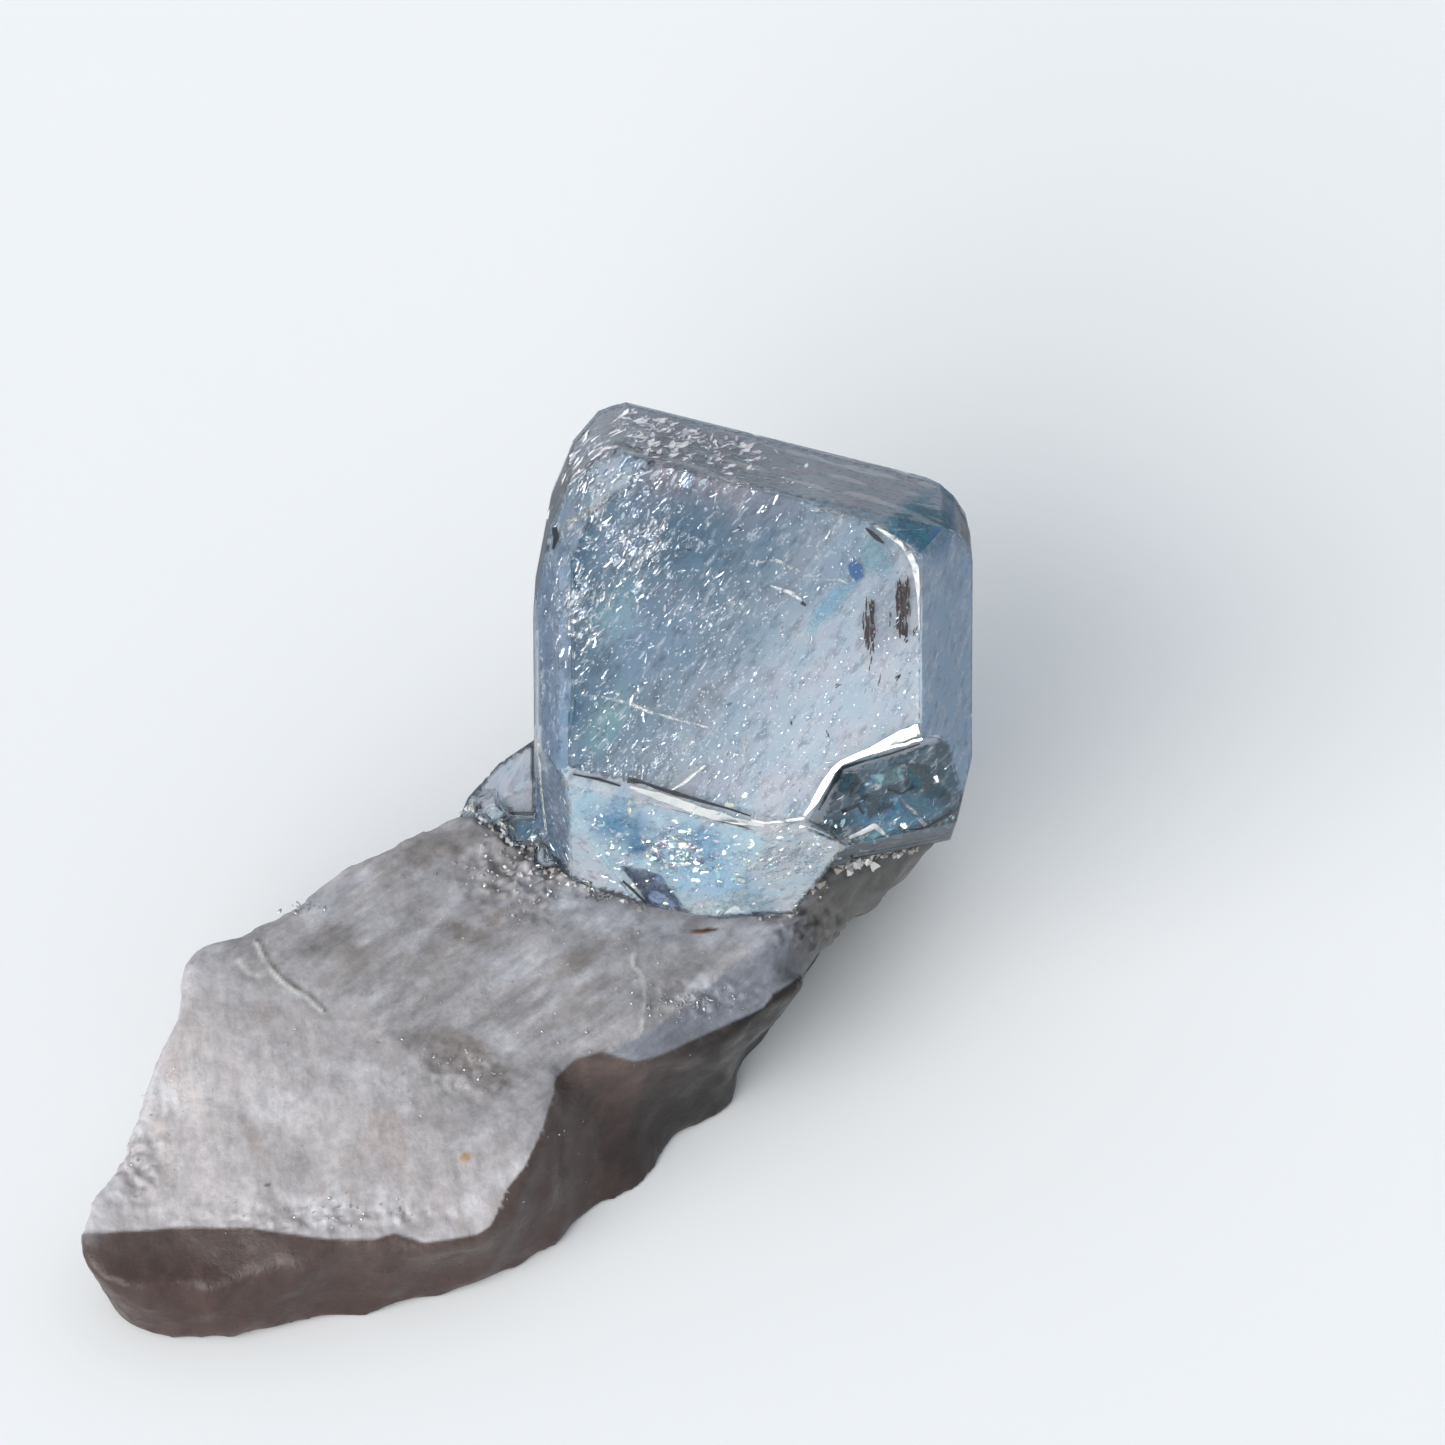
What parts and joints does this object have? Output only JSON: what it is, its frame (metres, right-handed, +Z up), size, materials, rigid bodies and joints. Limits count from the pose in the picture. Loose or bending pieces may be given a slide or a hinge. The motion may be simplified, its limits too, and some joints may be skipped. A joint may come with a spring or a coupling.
{
  "type": "euclase crystal on matrix",
  "caption": "Blocky clear blue crystal with bevelled edges and a broken lower corner, grown on a loose slab of grey-white matrix that lies on its flat underside.",
  "frame": {"origin": "on the surface that the specimen rests on, below the middle of its bounding box", "axes": "+Z up, +X along the specimen from the free end of the matrix to the crystal, -Y towards the side that the crystal's front face looks to"},
  "size_m": [0.0196, 0.018, 0.0149],
  "materials": {
    "euclase": "polished natural crystal faces",
    "matrix": "glittering broken stone"
  },
  "bodies": {
    "root": {"euclase_crystal": "euclase", "matrix": "matrix"}
  },
  "joints": []
}
